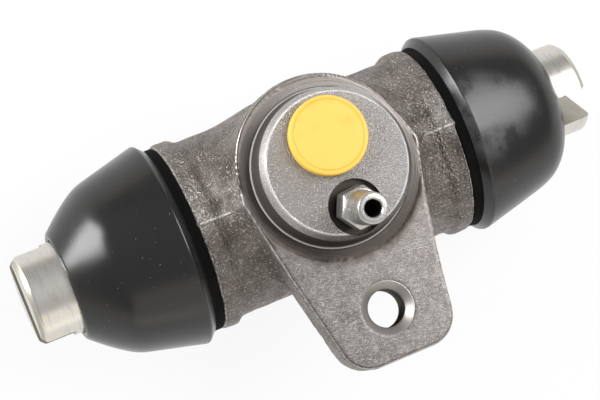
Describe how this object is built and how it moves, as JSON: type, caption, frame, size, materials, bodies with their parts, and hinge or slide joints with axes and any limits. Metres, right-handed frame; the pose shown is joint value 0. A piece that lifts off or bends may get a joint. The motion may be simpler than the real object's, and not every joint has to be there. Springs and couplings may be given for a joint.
{
  "type": "wheel cylinder",
  "caption": "Drum-brake wheel cylinder: cast barrel with pilot boss and bolting lug, opposed slotted pistons in rubber boots, leaning bleed screw and plugged pipe port.",
  "frame": {"origin": "centre of the pilot, on the mounting face", "axes": "+X along the bore to the right end, +Z out of the mounting face, the lug towards -Y"},
  "size_m": [0.1146, 0.0556, 0.0597],
  "materials": {
    "casting": "raw casting with machined faces",
    "plated_steel": "turned and plated, faintly yellow",
    "spring_steel": "drawn wire",
    "boot_rubber": "satin moulded",
    "seal_rubber": "smooth",
    "yellow_plastic": "moulded, satin"
  },
  "bodies": {
    "housing": {"cylinder_body": "casting", "left_boot": "boot_rubber", "right_boot": "boot_rubber"},
    "left_seal": {"left_cup": "seal_rubber", "left_expander": "plated_steel"},
    "right_seal": {"right_cup": "seal_rubber", "right_expander": "plated_steel", "return_spring": "spring_steel"},
    "left_plunger": {"left_piston": "plated_steel"},
    "right_plunger": {"right_piston": "plated_steel"},
    "bleeder": {"bleed_screw": "plated_steel"},
    "plug": {"port_plug": "yellow_plastic"}
  },
  "joints": [
    {"name": "left_slide", "type": "slide", "parent": "housing", "child": "left_seal", "axis": [-1, 0, 0], "range_m": [-0.004, 0.004]},
    {"name": "right_slide", "type": "slide", "parent": "housing", "child": "right_seal", "axis": [1, 0, 0], "range_m": [-0.002, 0.006], "deforming": ["return_spring"]},
    {"name": "left_turn", "type": "hinge", "parent": "left_seal", "child": "left_plunger", "pos_m": [0, -0.0013, -0.0217], "axis": [-1, 0, 0], "continuous": true},
    {"name": "right_turn", "type": "hinge", "parent": "right_seal", "child": "right_plunger", "pos_m": [0, -0.0013, -0.0217], "axis": [1, 0, 0], "continuous": true},
    {"name": "bleed_turn", "type": "hinge", "parent": "housing", "child": "bleeder", "pos_m": [0, -0.0083, 0.0047], "axis": [0, -0.1478, 0.989], "range_deg": [0, 360]},
    {"name": "plug_pull", "type": "slide", "parent": "housing", "child": "plug", "axis": [0, 0, 1], "range_m": [0, 0.008]}
  ]
}
